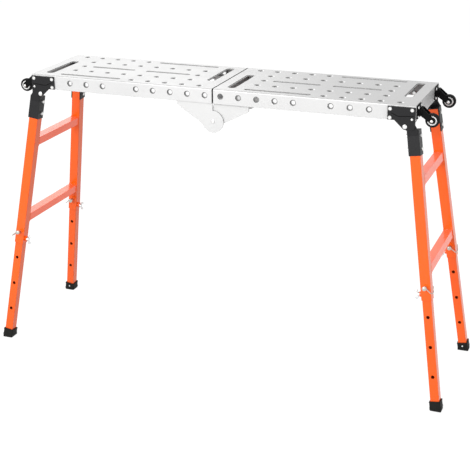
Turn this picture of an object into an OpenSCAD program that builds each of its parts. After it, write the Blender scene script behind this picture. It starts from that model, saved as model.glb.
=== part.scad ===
// Folding work table. Two pressed sheet-steel trays meet at a fold across the middle and stand
// on four splayed telescopic legs, which fold in under the trays. A small swivel wheel sits on
// each corner of the end skirts, for rolling the folded table about.
// Origin: middle of the floor under the table. +X along the table, +Y to its back, +Z up.
// Most pieces at a corner are written for the +X +Y corner and mirrored to the other three.

/* [Deck] */
// Length of the opened table
table_l = 1200; // [1140:1:1320]
// Width over the two long skirts
deck_w = 300; // [292:1:330]
// Height of the deck above the floor
deck_h = 880; // [850:1:930]
// Thickness of the tray sheet
sheet_t = 2; // [1.5:0.1:2.4]
// Depth of the folded-down skirts
skirt_h = 44; // [43:0.5:52]
// Gap between the two trays at the fold
fold_gap = 3; // [2:0.5:6]
// Outside radius of the bend along the long edges
bend_r = 4; // [3:0.5:5]

/* [Deck holes] */
// Pitch of the clamp holes along the deck
hole_pitch = 55.4; // [54:0.1:57]
// Diameter of a clamp hole
hole_d = 10; // [8:0.5:12]
// Diameter of the pressed dimple round a clamp hole
dimple_d = 20; // [16:0.5:22]
// Depth of the pressed dimples and slot rims
dimple_deep = 1.6; // [1:0.1:2.2]
// Distance of the inner rows of holes from the middle line
inner_row = 60.4; // [56:0.5:66]
// Distance of the outer rows of holes from the middle line
outer_row = 122.7; // [118:0.5:124]
// Width of the clamp slots
slot_w = 8; // [6:0.5:10]
// Width of the pressed rim round each slot
slot_rim = 3; // [2:0.5:4]
// Length of the two slots in the middle row
mid_slot_l = 141; // [120:1:144]
// Length of the slot that ends each outer row
long_slot_l = 195; // [160:1:198]
// Length of the hand slots across the tray ends
hand_slot_l = 172; // [140:1:180]
// Width of the hand slots
hand_slot_w = 20; // [14:1:22]
// Distance of a hand slot's centre line from the tray's end
hand_slot_in = 44; // [40:1:46]
// Sideways shift of the hand slots, opposite at the two ends
hand_slot_shift = 32; // [20:1:36]

/* [Side holes] */
// Diameter of a hole in the long skirts
side_hole_d = 12; // [8:0.5:13]
// Diameter of the dimple round a skirt hole
side_dimple_d = 18; // [15:0.5:20]
// Distance of the first skirt hole from the fold
side_first = 24.8; // [22:0.1:28]
// Pitch of the skirt holes
side_pitch = 55.5; // [53:0.1:56]
// Depth of the skirt holes below the deck
side_drop = 21; // [20:0.5:23]
// Number of skirt hole places, one of them left blank
side_count = 9; // [7:1:9]
// Place that is left blank, counted from the fold
side_blank = 5; // [3:1:6]

/* [Braces] */
// Width of a brace under the deck
brace_w = 16; // [12:1:18]
// Depth of a brace
brace_h = 12; // [8:1:14]
// Sheet thickness of a brace
brace_t = 1.5; // [1:0.1:2]

/* [Fold hinge] */
// Thickness of the hinge plates
hinge_t = 3; // [2.5:0.1:3.5]
// Depth of the fold's pivot below the skirts
hinge_drop = 54.5; // [52:0.5:60]
// Radius of the round end of the hinge plates
hinge_r = 33; // [28:0.5:36]
// Reach of the left hinge plates along the skirt
left_reach = 114; // [95:1:125]
// Reach of the right hinge plates along the skirt
right_reach = 111; // [95:1:125]
// Diameter of the fold's pivot bolts
hinge_bolt_d = 8; // [7:0.5:10]

/* [Leg brackets] */
// Thickness of the bracket plates
plate_t = 3; // [2.5:0.1:3.5]
// Length of the bracket plate along the skirt
bracket_l = 78; // [74:1:90]
// Distance of the leg's pivot from the tray's end
pivot_in = 28; // [26:0.5:32]
// Depth of the leg's pivot below the skirts
pivot_drop = 16; // [15:0.5:19]
// Radius of the bracket round the pivot
tongue_r = 9; // [8.5:0.5:11]
// Diameter of the leg's pivot pins
pivot_d = 10; // [8:0.5:11]
// Diameter of the bolts that hold the bracket plate
bolt_d = 6; // [5:0.5:6.5]
// Diameter of the smaller bolt at the plate's lower outer corner
small_d = 4; // [3:0.5:5]

/* [Legs] */
// Outside width of the outer leg tube
leg_w = 30; // [28:0.5:32]
// Wall of both leg tubes
leg_wall = 1.5; // [1.2:0.1:2]
// Gap round the inner leg tube
slide_gap = 0.3; // [0.2:0.05:0.5]
// Lean of the legs along the table, in degrees
lean = 8.65; // [6:0.05:10]
// Splay of the legs across the table, in degrees
splay = 5.64; // [4:0.02:7]
// Distance of the leg's centre line outside its pivot
leg_off = 20; // [19:0.5:23]
// Length of the outer leg tube below its pivot
outer_l = 500; // [480:5:540]
// Length of inner tube that stays in the outer tube at rest
overlap_l = 130; // [100:1:135]
// Pitch of the height holes
height_pitch = 90; // [80:1:90]
// Number of height holes
height_count = 4; // [3:1:4]
// Distance of the snap pin above the outer tube's lower end
pin_up = 39.5; // [36:0.5:55]
// Distance of the wing screw below the snap pin
wing_drop = 24; // [20:0.5:28]
// Height of the rubber foot
foot_h = 28; // [24:1:36]
// Wall of the rubber foot
foot_wall = 3.3; // [2.5:0.1:4]
// Thickness of the foot's sole below the tube
sole_t = 11; // [8:0.5:14]

/* [Leg sockets] */
// Wall of the socket round the leg's top
socket_wall = 2; // [1.5:0.1:2.2]
// Distance of the socket's closed top below the pivot
socket_drop = 11; // [9:0.5:14]
// Length of the socket below the pivot
socket_l = 83; // [75:1:100]
// Distance of the upper cross bolt below the pivot
cross_1 = 28; // [26:0.5:36]
// Distance of the lower cross bolt below the pivot
cross_2 = 66; // [58:0.5:70]
// Diameter of the cross bolts
cross_d = 6; // [5:0.5:8]

/* [Rungs] */
// Width of a rung along the table
rung_w = 26; // [20:1:28]
// Height of a rung
rung_h = 25; // [18:1:28]
// Wall of the rung tube
rung_wall = 1.5; // [1:0.1:2]
// Distance of the upper rung below the leg's pivot
rung_1 = 161; // [140:1:175]
// Distance of the lower rung above the outer tube's lower end
rung_up = 85; // [75:1:120]

/* [Snap pins and wing screws] */
// Diameter of the snap pin
pin_d = 8; // [6:0.5:9]
// Diameter of the snap pin's head
pin_head_d = 13; // [11:0.5:16]
// Distance that the pin's head stands off the leg
pin_stand = 12; // [12:0.5:14]
// Diameter of the pin's wire bail
wire_d = 2.4; // [2:0.1:3]
// Diameter of the wing screw
screw_d = 8; // [6:0.5:9]
// Height of the nut welded to the leg for the wing screw
boss_h = 6; // [4:0.5:8]
// Distance of a wing's tip from the screw's axis
wing_r = 15; // [13:0.5:18]

/* [Wheels] */
// Diameter of the tyre
tyre_d = 40; // [36:0.5:42]
// Width of the tyre
tyre_w = 14; // [10:0.5:15]
// Diameter of the wheel's rim
rim_d = 25; // [22:0.5:28]
// Diameter of the wheel's axle
axle_d = 6; // [5:0.5:7]
// Reach of the fork from its swivel plate to the axle
fork_reach = 31; // [30:0.5:36]
// Drop of the axle below the swivel's axis
fork_trail = 23; // [14:0.5:25]
// Thickness of the fork and of its base plate
fork_t = 3; // [2.5:0.1:3]
// Depth of the swivel's raceway
race_h = 6; // [5.5:0.5:8]
// Distance of a wheel's middle from the skirt's outer face
wheel_in = 35; // [34:0.5:40]

/* [Hidden] */

$fn = 24;
eps = 0.01;                         // overshoot of a cut past the face that it leaves
fit = 0.05;                         // radial clearance of a pin or bolt in its bore
layer = 0.3;                        // clearance between plates that turn past each other

end_x = table_l / 2;
half_w = deck_w / 2;
tray_l = (table_l - fold_gap) / 2;
tray_cx = (table_l + fold_gap) / 4;
skirt_z = deck_h - skirt_h;
skirt_in = half_w - sheet_t;
flat_z = deck_h - bend_r - 1;       // top of the plates that lie flat on the long skirts
side_z = deck_h - side_drop;
side_deep = hinge_t + layer;        // the skirt dimples reach in to the right hinge plates

hinge_z = skirt_z - hinge_drop;
hinge_edge = fold_gap / 2 + sheet_t + 1.5;
left_top = side_z - side_dimple_d / 2 - sheet_t - 0.5;
right_y = skirt_in - hinge_t - layer;

pivot_x = end_x - pivot_in;
pivot_z = skirt_z - pivot_drop;
leg_x = pivot_x + leg_off;
leg_y = half_w - leg_w / 2 - 5;
leg_len = pivot_z / (cos(lean) * cos(splay));
ear_y = half_w - layer;             // outer face of the socket's ear
cap_z = skirt_z - layer;            // top of the socket's stop, which meets the end skirt
sock_w = leg_w + 2 * (fit + socket_wall);
inner_w = leg_w - 2 * (leg_wall + slide_gap);
pin_drop = outer_l - pin_up;
wing_at = pin_drop + wing_drop;
inner_top = outer_l - overlap_l;

wheel_y = half_w - wheel_in;
wheel_z = deck_h - skirt_h / 2;
fork_x = end_x + plate_t + race_h + layer;
axle_x = fork_x + fork_reach;
arm_in = tyre_w / 2 + 2;            // inside of a fork arm from the wheel's middle
fix_y = 16;                         // half spacing of a wheel plate's bolts across the table
fix_z = 13;                         // and up and down
fix_d = 5;
BOLTS = [                           // place and diameter of each bolt in a bracket plate
    [end_x - 9, deck_h - 12, bolt_d], [end_x - bracket_l + 7, deck_h - 12, bolt_d],
    [end_x - bracket_l + 7, skirt_z + 7, bolt_d], [end_x - 9, skirt_z + 6, small_d]
];
side_end = end_x - bracket_l - side_dimple_d / 2 - sheet_t;
PLACES = [                          // skirt holes, as far as the bracket plates leave room
    for (k = [0:side_count - 1]) let (x = side_first + k * side_pitch)
        if (k != side_blank && x <= side_end) x
];

silver = "#e4e5e6";
black = "#3c3c3e";
orange = "#f4702a";
zinc = "#c9cdd0";

// ---- shared shapes ----

// Mirrors what is written for the +X +Y corner to the corner (sx, sy)
module corner(sx, sy) {
    mirror([sx < 0 ? 1 : 0, 0, 0]) mirror([0, sy < 0 ? 1 : 0, 0]) children();
}

// Square with rounded corners, centred
module round_square(w, r) {
    square([w - 2 * r, w], center = true);
    square([w, w - 2 * r], center = true);
    for (x = [-1, 1], y = [-1, 1]) translate([x * (w / 2 - r), y * (w / 2 - r)]) circle(r);
}

// Slot outline with round ends, l long over all, centred
module slot_2d(l, w) {
    square([l - w, w], center = true);
    for (s = [-1, 1]) translate([s * (l - w) / 2, 0]) circle(w / 2);
}

// Upright plate of thickness t whose +Y face is at y; its outline is drawn in X and Z
module xz_plate(y, t) {
    translate([0, y, 0]) rotate([90, 0, 0]) linear_extrude(t) children();
}

// Bolt along +Z: head above z = 0, nut below z = -grip
module bolt(d, grip, head_d, head_h, nut_d, nut_h) {
    translate([0, 0, -grip - nut_h]) cylinder(d = d, h = grip + nut_h + head_h / 2);
    cylinder(d = head_d, h = head_h * 0.6);
    translate([0, 0, head_h * 0.6]) cylinder(d1 = head_d, d2 = head_d * 0.7, h = head_h * 0.4);
    translate([0, 0, -grip - nut_h]) cylinder(d = nut_d, h = nut_h, $fn = 6);
}

// ---- trays ----

// The tray's own frame: origin in the middle of its deck face
module tray_frame(side) { translate([side * tray_cx, 0, deck_h]) children(); }

module each_dimple() {
    for (k = [-4.5:4.5]) {
        if (k < 0) translate([k * hole_pitch, outer_row, 0]) children();
        if (k > 0) translate([k * hole_pitch, -outer_row, 0]) children();
        if (abs(k) < 4) for (s = [-1, 1]) translate([k * hole_pitch, s * inner_row, 0]) children();
        if (abs(k) == 3.5) translate([k * hole_pitch, 0, 0]) children();
    }
}

// Each clamp slot as length and width; grow widens the outline
module each_slot(grow) {
    for (s = [-1, 1]) {
        translate([s * 5 * hole_pitch / 3, 0]) slot_2d(mid_slot_l + 2 * grow, slot_w + 2 * grow);
        translate([s * 2 * hole_pitch, s * outer_row])
            slot_2d(long_slot_l + 2 * grow, slot_w + 2 * grow);
        translate([s * (tray_l / 2 - hand_slot_in), s * hand_slot_shift]) rotate(90)
            slot_2d(hand_slot_l + 2 * grow, hand_slot_w + 2 * grow);
    }
}

module skirt_profile(inset) {
    w = deck_w - 2 * inset;
    r = bend_r - inset;
    translate([-w / 2, -skirt_h - 1]) square([w, skirt_h + 1 - inset - r]);
    translate([-w / 2 + r, -skirt_h - 1]) square([w - 2 * r, skirt_h + 1 - inset]);
    for (s = [-1, 1]) translate([s * (w / 2 - r), -inset - r]) circle(r);
}

module tray_body(l, inset) {
    intersection() {
        translate([-l / 2, 0, 0]) rotate([90, 0, 90]) linear_extrude(l) skirt_profile(inset);
        translate([-l / 2 - 1, -half_w - 1, -skirt_h - (inset > 0 ? 1 : 0)])
            cube([l + 2, deck_w + 2, skirt_h + 2]);
    }
}

// Dimple in a long skirt: boss, recess or bore, drawn along -Y from the +Y skirt's outer face
module each_side_dimple(side) {
    for (s = [-1, 1], x = PLACES)
        translate([side * (x - tray_cx), s * half_w, -side_drop]) rotate([s * 90, 0, 0]) children();
}

module tray(side) {
    tray_frame(side) difference() {
        union() {
            difference() {
                tray_body(tray_l, 0);
                tray_body(tray_l - 2 * sheet_t, sheet_t);
            }
            each_dimple() translate([0, 0, -dimple_deep - sheet_t])
                cylinder(d1 = hole_d + 2 * sheet_t + 1, d2 = dimple_d + 2 * sheet_t,
                         h = dimple_deep + sheet_t / 2);
            translate([0, 0, -dimple_deep - sheet_t])
                linear_extrude(dimple_deep + sheet_t / 2) each_slot(slot_rim + sheet_t);
            each_side_dimple(side)
                cylinder(d = side_dimple_d + 2 * sheet_t, h = side_deep + sheet_t);
        }
        each_dimple() {
            translate([0, 0, -dimple_deep]) cylinder(d1 = hole_d + 3, d2 = dimple_d, h = dimple_deep);
            cylinder(d = dimple_d, h = 1);
            translate([0, 0, -skirt_h / 2]) cylinder(d = hole_d, h = skirt_h);
        }
        translate([0, 0, -dimple_deep]) linear_extrude(dimple_deep + 1) each_slot(slot_rim);
        translate([0, 0, -skirt_h / 2]) linear_extrude(skirt_h) each_slot(0);
        each_side_dimple(side) translate([0, 0, -1]) {
            cylinder(d = side_dimple_d, h = side_deep + 1);
            cylinder(d = side_hole_d, h = side_deep + sheet_t + 2);
        }
        translate([-side * tray_cx, 0, -deck_h]) for (s = [-1, 1]) corner(side, s) {
            bracket_bores();
            wheel_bores();
        }
    }
}

module braces(side) {
    tray_frame(side) for (k = [-4, 0, 4])
        translate([k * hole_pitch, 0, -sheet_t - brace_h]) difference() {
            translate([-brace_w / 2, -right_y + plate_t + 3, 0])
                cube([brace_w, 2 * (right_y - hinge_t - 3), brace_h]);
            translate([-brace_w / 2 + brace_t, -half_w, brace_t])
                cube([brace_w - 2 * brace_t, deck_w, brace_h]);
        }
}

// ---- fold hinge ----

module left_hinge_plate() {
    difference() {
        union() {
            xz_plate(skirt_in, hinge_t) polygon([
                [-left_reach, left_top], [-hinge_edge, left_top], [-hinge_edge, skirt_z],
                [-1, skirt_z - 2], [0, hinge_z + hinge_r * 0.6], [hinge_r * 0.4, hinge_z],
                [-hinge_r * 0.5, hinge_z - hinge_r * 0.8], [-hinge_r * 1.25, hinge_z - 4],
                [-left_reach, skirt_z - 10]
            ]);
            xz_plate(skirt_in, hinge_t) translate([0, hinge_z]) circle(hinge_r);
        }
        hinge_bore();
    }
}

module right_hinge_plate() {
    difference() {
        union() {
            xz_plate(right_y, hinge_t) polygon([
                [hinge_edge, flat_z], [right_reach, flat_z], [right_reach, skirt_z - 17],
                [hinge_r * 1.5, hinge_z + 5], [hinge_r * 0.6, hinge_z - 9], [-hinge_r * 0.4, hinge_z],
                [1, skirt_z - 4], [hinge_edge, skirt_z]
            ]);
            xz_plate(right_y, hinge_t) translate([0, hinge_z]) circle(hinge_r - 2);
        }
        hinge_bore();
    }
}

module hinge_bore() {
    translate([0, half_w + 1, hinge_z]) rotate([90, 0, 0])
        cylinder(d = hinge_bolt_d + 2 * fit, h = half_w / 2);
}

module hinge_bolts() {
    for (s = [-1, 1]) corner(1, s) translate([0, skirt_in, hinge_z]) rotate([-90, 0, 0])
        bolt(hinge_bolt_d, 2 * hinge_t + 2 * layer, hinge_bolt_d * 1.4, 2, hinge_bolt_d * 1.8, 6);
}

// ---- leg brackets ----

module bracket_bores() {
    for (p = BOLTS) translate([p[0], half_w + plate_t + 1, p[1]]) rotate([90, 0, 0])
        cylinder(d = p[2] + 2 * fit, h = plate_t + sheet_t + 2);
}

module wheel_bores() {
    for (y = [-1, 1], z = [-1, 1])
        translate([end_x - sheet_t - plate_t - 1, wheel_y + y * fix_y, wheel_z + z * fix_z])
            rotate([0, 90, 0]) cylinder(d = fix_d + 2 * fit, h = sheet_t + 2 * plate_t + 2);
}

module pivot_bore() {
    translate([pivot_x, half_w + plate_t + 1, pivot_z]) rotate([90, 0, 0])
        cylinder(d = pivot_d + 2 * fit, h = half_w / 2);
}

// Plate on the long skirt that carries the leg, and the plate that backs the wheel's bolts
module bracket() {
    difference() {
        xz_plate(half_w + plate_t, plate_t) {
            polygon([
                [end_x - bracket_l, flat_z], [end_x, flat_z], [end_x, pivot_z - tongue_r / 2],
                [end_x - 6, pivot_z - tongue_r], [pivot_x, pivot_z - tongue_r],
                [pivot_x - tongue_r * 0.9, pivot_z - tongue_r * 0.5],
                [end_x - bracket_l * 0.75, skirt_z + 0.5], [end_x - bracket_l, skirt_z + 0.5]
            ]);
            translate([pivot_x, pivot_z]) circle(tongue_r);
        }
        bracket_bores();
        pivot_bore();
    }
    difference() {
        translate([end_x - sheet_t - plate_t, wheel_y - fix_y - 7, skirt_z + 2])
            cube([plate_t, 2 * fix_y + 14, skirt_h - 8]);
        wheel_bores();
    }
}

module fixings(side) {
    for (s = [-1, 1]) corner(side, s) {
        for (p = BOLTS) translate([p[0], half_w + plate_t, p[1]]) rotate([-90, 0, 0])
            bolt(p[2], plate_t + sheet_t, p[2] * 1.8, p[2] * 0.65, p[2] * 1.85, p[2] * 0.75);
        for (y = [-1, 1], z = [-1, 1])
            translate([end_x + plate_t, wheel_y + y * fix_y, wheel_z + z * fix_z]) rotate([0, 90, 0])
                bolt(fix_d, 2 * plate_t + sheet_t, fix_d * 1.7, 3, fix_d * 1.8, 4);
    }
}

// Riveted pins: low head outside, shank in to the far face of the socket's ear
module pivot_pins(side) {
    shank = 2 * plate_t + layer;
    for (s = [-1, 1]) corner(side, s)
        translate([pivot_x, half_w + plate_t, pivot_z]) rotate([-90, 0, 0]) {
            translate([0, 0, -shank]) cylinder(d = pivot_d, h = shank + 1);
            cylinder(d = pivot_d * 1.3, h = 1.5);
            translate([0, 0, 1.5]) cylinder(d1 = pivot_d * 1.3, d2 = pivot_d * 0.8, h = 1.5);
        }
}

// ---- legs ----

// The leg's own frame: origin on its centre line level with the pivot, -Z down the leg
module leg_frame() {
    translate([leg_x, leg_y, pivot_z]) rotate([0, -lean, 0]) rotate([splay, 0, 0]) children();
}

// Solid square bar on the leg's centre line from depth a to depth b
module leg_bar(w, r, a, b) {
    leg_frame() translate([0, 0, -b]) linear_extrude(b - a) round_square(w, r);
}

module cross_bores(d) {
    leg_frame() for (c = [cross_1, cross_2]) translate([-leg_w, 0, -c]) rotate([0, 90, 0])
        cylinder(d = d, h = 2 * leg_w);
}

module ear_outline() {
    polygon([
        [pivot_x - tongue_r * 0.8, pivot_z + tongue_r * 0.6], [pivot_x, pivot_z + tongue_r],
        [pivot_x + leg_off / 4, cap_z], [end_x, cap_z], [end_x, pivot_z + 5],
        [leg_x + sock_w / 2, pivot_z - socket_drop + 2], [leg_x + sock_w / 2, pivot_z - 32],
        [leg_x - sock_w / 3, pivot_z - 32], [pivot_x + leg_off / 4, pivot_z - 12],
        [pivot_x - tongue_r * 0.8, pivot_z - tongue_r * 0.6]
    ]);
    translate([pivot_x, pivot_z]) circle(tongue_r);
}

// Channel that is open towards the table's middle line, with an ear for the pivot and a stop
module socket() {
    difference() {
        union() {
            leg_frame() translate([-sock_w / 2, -leg_w / 2, -socket_l])
                cube([sock_w, leg_w / 2 + sock_w / 2, socket_l - socket_drop]);
            xz_plate(ear_y, plate_t) ear_outline();
            translate([pivot_x + leg_off / 4, leg_y, cap_z - socket_wall])
                cube([pivot_in - leg_off / 4, ear_y - leg_y, socket_wall]);
        }
        leg_bar(leg_w + 2 * fit, 2, socket_drop + socket_wall, socket_l + 1);
        cross_bores(cross_d + 2 * fit);
        pivot_bore();
    }
}

module socket_bolts(side) {
    for (s = [-1, 1]) corner(side, s) leg_frame() for (c = [cross_1, cross_2])
        translate([sock_w / 2, 0, -c]) rotate([0, 90, 0])
            bolt(cross_d, sock_w, cross_d * 1.8, 4, cross_d * 1.85, 5);
}

module height_bore(depth) {
    leg_frame() translate([0, leg_w, -depth]) rotate([90, 0, 0])
        cylinder(d = pin_d + 0.2, h = 2 * leg_w);
}

module outer_leg() {
    difference() {
        union() {
            leg_bar(leg_w, 2, socket_drop + socket_wall, outer_l);
            leg_frame() translate([-leg_w / 2 - boss_h, 0, -wing_at]) rotate([0, 90, 0])
                cylinder(d = screw_d * 2, h = boss_h + leg_wall / 2);
        }
        leg_bar(leg_w - 2 * leg_wall, 0.6, 0, outer_l + 1);
        cross_bores(cross_d + 2 * fit);
        height_bore(pin_drop);
        leg_frame() translate([-leg_w, 0, -wing_at]) rotate([0, 90, 0])
            cylinder(d = screw_d + 2 * fit, h = leg_w);
    }
}

module rungs(side) {
    corner(side, 1) difference() {
        translate([leg_x, 0, pivot_z]) rotate([0, -lean, 0]) for (d = [rung_1, outer_l - rung_up])
            translate([0, leg_y + leg_w, -d]) rotate([90, 0, 0]) linear_extrude(2 * (leg_y + leg_w))
                difference() {
                    square([rung_w, rung_h], center = true);
                    square([rung_w - 2 * rung_wall, rung_h - 2 * rung_wall], center = true);
                }
        for (s = [-1, 1]) corner(1, s) leg_frame()
            translate([-leg_w, -leg_w / 2, -outer_l]) cube([2 * leg_w, 4 * leg_w, outer_l]);
    }
}

module inner_leg() {
    difference() {
        leg_bar(inner_w, 1.7, inner_top, leg_len - sole_t);
        leg_bar(inner_w - 2 * leg_wall, 0.5, inner_top - 1, leg_len);
        for (k = [0:height_count - 1]) let (depth = pin_drop + k * height_pitch)
            if (depth < leg_len - foot_h - pin_d) height_bore(depth);
    }
}

module foot() {
    intersection() {
        difference() {
            union() {
                leg_bar(inner_w + 2 * foot_wall, 3, leg_len - foot_h, leg_len + foot_h);
                leg_bar(inner_w + 2 * foot_wall + 2, 3.5, leg_len - foot_h, leg_len - foot_h + 4);
            }
            leg_bar(inner_w, 1.7, leg_len - foot_h - 1, leg_len - sole_t);
        }
        translate([end_x / 2, 0, 0]) cube([2 * end_x, deck_w * 2, deck_h]);
    }
}

// ---- snap pins and wing screws ----

// Frame on one face of the leg, +Z out of that face; side is +1 for the table's outside
module pin_frame(side) {
    leg_frame() translate([0, side * leg_w / 2, -pin_drop]) rotate([-90 * side, 0, 0]) children();
}

function unit(v) = v / norm(v);

// Ring of points round path point i, square to the path there
function wire_ring(points, i, r) =
    let (
        n = len(points) - 1,
        t = unit((i < n ? unit(points[i + 1] - points[i]) : [0, 0, 0])
            + (i > 0 ? unit(points[i] - points[i - 1]) : [0, 0, 0])),
        u = unit(cross(t, [1, 0, 0])),
        w = cross(t, u)
    )
    [for (a = [0:45:315]) points[i] + r * (cos(a) * u + sin(a) * w)];

// Round wire of diameter d bent along the points
module wire(points, d) {
    n = len(points);
    polyhedron(
        points = [for (i = [0:n - 1]) each wire_ring(points, i, d / 2)],
        faces = concat(
            [[for (j = [0:7]) j]],
            [for (i = [0:n - 2], j = [0:7]) let (k = (j + 1) % 8)
                each [[8 * i + j, 8 * i + 8 + j, 8 * i + 8 + k], [8 * i + j, 8 * i + 8 + k, 8 * i + k]]],
            [[for (j = [7:-1:0]) 8 * (n - 1) + j]]
        )
    );
}

module snap_pin(side) {
    out = leg_w / 2 + wire_d + 3;
    pin_frame(side) {
        translate([0, 0, -leg_wall + 1.2]) cylinder(d = pin_d, h = pin_stand + leg_wall);
        translate([0, 0, -leg_wall + 0.2]) cylinder(d1 = pin_d - 2, d2 = pin_d, h = 1);
        translate([0, 0, pin_stand]) cylinder(d = pin_head_d, h = 4.5);
        translate([0, 0, pin_stand + 4.5])
            cylinder(d1 = pin_head_d, d2 = pin_head_d - 4, h = 1.5);
        wire([
            [pin_head_d / 2 - 2, 0, pin_stand + 3], [out - 4, side * 13, pin_stand + 3],
            [out - 1, side * 16, pin_stand], [out, side * 17, pin_stand - 4],
            [out, side * 17, -7], [out, side * 14, -11], [out, side * 9, -13], [out, 0, -13]
        ], wire_d);
    }
}

module wing_screw() {
    leg_frame() translate([-leg_w / 2, 0, -wing_at]) rotate([0, -90, 0]) {
        translate([0, 0, -leg_wall]) cylinder(d = screw_d, h = leg_wall + boss_h + 3);
        translate([0, 0, boss_h + layer]) cylinder(d1 = screw_d + 5, d2 = screw_d + 3, h = 7);
        for (a = [0, 180]) rotate([0, 0, a]) translate([0, 0, boss_h + 4]) rotate([90, 0, 0])
            translate([0, 0, -1.5]) linear_extrude(3) {
                polygon([[1, 0], [wing_r - 6, 2], [wing_r - 4, 10], [1, 3]]);
                translate([wing_r - 5, 6]) circle(5);
            }
    }
}

// ---- wheels ----

// Frame on the swivel's axis at the end skirt's outer face, +Z out along the axis
module swivel_frame() {
    translate([end_x, wheel_y, wheel_z]) rotate([0, 90, 0]) children();
}

module wheel_plate() {
    difference() {
        union() {
            translate([end_x, wheel_y - fix_y - 6, wheel_z - fix_z - 5.5])
                cube([plate_t, 2 * fix_y + 12, 2 * fix_z + 11]);
            swivel_frame() {
                cylinder(d1 = 30, d2 = 26, h = plate_t + race_h);
                cylinder(d = 8, h = plate_t + race_h + fork_t + 2 * layer + 2);
                translate([0, 0, plate_t + race_h + fork_t + 2 * layer]) cylinder(d = 13, h = 2.5);
            }
        }
        wheel_bores();
    }
}

module fork() {
    difference() {
        union() {
            translate([fork_x, wheel_y, wheel_z]) rotate([0, 90, 0]) cylinder(d = 30, h = fork_t);
            for (s = [-1, 1])
                translate([0, s * (arm_in + fork_t / 2) + fork_t / 2, 0]) xz_plate(wheel_y, fork_t)
                    fork_outline();
        }
        translate([fork_x - 1, wheel_y, wheel_z]) rotate([0, 90, 0])
            cylinder(d = 8 + 2 * fit, h = fork_t + 2);
        axle_rod(axle_d + 2 * fit, 4 * arm_in);
    }
    axle_rod(axle_d, 2 * (arm_in + fork_t));
    for (s = [-1, 1]) translate([axle_x, wheel_y + s * (arm_in + fork_t), wheel_z - fork_trail])
        rotate([-90 * s, 0, 0]) {
            cylinder(d = axle_d * 1.8, h = 2.5, $fn = 6);
            cylinder(d = axle_d * 0.9, h = 4);
        }
}

module fork_outline() {
    polygon([
        [fork_x, wheel_z + 11], [fork_x + fork_t + 1, wheel_z + 11],
        [axle_x + 6, wheel_z - fork_trail + 6], [axle_x, wheel_z - fork_trail],
        [axle_x - 5, wheel_z - fork_trail - 5], [fork_x + 4, wheel_z - 14], [fork_x, wheel_z - 11]
    ]);
    translate([axle_x, wheel_z - fork_trail]) circle(7.5);
}

module axle_rod(d, l) {
    translate([axle_x, wheel_y + l / 2, wheel_z - fork_trail]) rotate([90, 0, 0])
        cylinder(d = d, h = l);
}

// The wheel's own frame: origin in its middle, +Z along the axle towards the table's outside
module wheel_frame() {
    translate([axle_x, wheel_y, wheel_z - fork_trail]) rotate([-90, 0, 0]) children();
}

module rim() {
    wheel_frame() difference() {
        union() {
            cylinder(d = rim_d, h = tyre_w - 2, center = true);
            cylinder(d = axle_d * 2, h = 2 * (arm_in - layer), center = true);
        }
        for (s = [-1, 1]) translate([0, 0, s * (tyre_w / 2 - 1)]) difference() {
            cylinder(d = rim_d - 6, h = 7, center = true);
            cylinder(d = axle_d * 2, h = 9, center = true);
        }
        cylinder(d = axle_d + 2 * fit, h = 4 * arm_in, center = true);
    }
}

module tyre() {
    r = 3;
    wheel_frame() rotate_extrude() {
        translate([rim_d / 2, -tyre_w / 2]) square([(tyre_d - rim_d) / 2 - r, tyre_w]);
        translate([rim_d / 2, -tyre_w / 2 + r]) square([(tyre_d - rim_d) / 2, tyre_w - 2 * r]);
        for (s = [-1, 1]) translate([tyre_d / 2 - r, s * (tyre_w / 2 - r)]) circle(r);
    }
}

// ---- nodes ----

module left_tray() { color(silver) tray(-1); }
module right_tray() { color(silver) tray(1); }
module left_braces() { color(silver) braces(-1); }
module right_braces() { color(silver) braces(1); }
module left_front_hinge_plate() { color(silver) corner(1, -1) left_hinge_plate(); }
module left_back_hinge_plate() { color(silver) left_hinge_plate(); }
module right_front_hinge_plate() { color(silver) corner(1, -1) right_hinge_plate(); }
module right_back_hinge_plate() { color(silver) right_hinge_plate(); }
module hinge_pair() { color(zinc) hinge_bolts(); }
module left_front_bracket() { color(black) corner(-1, -1) bracket(); }
module left_back_bracket() { color(black) corner(-1, 1) bracket(); }
module right_front_bracket() { color(black) corner(1, -1) bracket(); }
module right_back_bracket() { color(black) corner(1, 1) bracket(); }
module left_fixings() { color(zinc) fixings(-1); }
module right_fixings() { color(zinc) fixings(1); }
module left_pivot_pins() { color(zinc) pivot_pins(-1); }
module right_pivot_pins() { color(zinc) pivot_pins(1); }
module left_front_socket() { color(black) corner(-1, -1) socket(); }
module left_back_socket() { color(black) corner(-1, 1) socket(); }
module right_front_socket() { color(black) corner(1, -1) socket(); }
module right_back_socket() { color(black) corner(1, 1) socket(); }
module left_socket_bolts() { color(zinc) socket_bolts(-1); }
module right_socket_bolts() { color(zinc) socket_bolts(1); }
module left_front_outer_leg() { color(orange) corner(-1, -1) outer_leg(); }
module left_back_outer_leg() { color(orange) corner(-1, 1) outer_leg(); }
module right_front_outer_leg() { color(orange) corner(1, -1) outer_leg(); }
module right_back_outer_leg() { color(orange) corner(1, 1) outer_leg(); }
module left_rungs() { color(orange) rungs(-1); }
module right_rungs() { color(orange) rungs(1); }
module left_front_inner_leg() { color(orange) corner(-1, -1) inner_leg(); }
module left_back_inner_leg() { color(orange) corner(-1, 1) inner_leg(); }
module right_front_inner_leg() { color(orange) corner(1, -1) inner_leg(); }
module right_back_inner_leg() { color(orange) corner(1, 1) inner_leg(); }
module left_front_foot() { color(black) corner(-1, -1) foot(); }
module left_back_foot() { color(black) corner(-1, 1) foot(); }
module right_front_foot() { color(black) corner(1, -1) foot(); }
module right_back_foot() { color(black) corner(1, 1) foot(); }
module left_front_snap_pin() { color(zinc) corner(-1, -1) snap_pin(1); }
module left_back_snap_pin() { color(zinc) corner(-1, 1) snap_pin(-1); }
module right_front_snap_pin() { color(zinc) corner(1, -1) snap_pin(1); }
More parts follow.
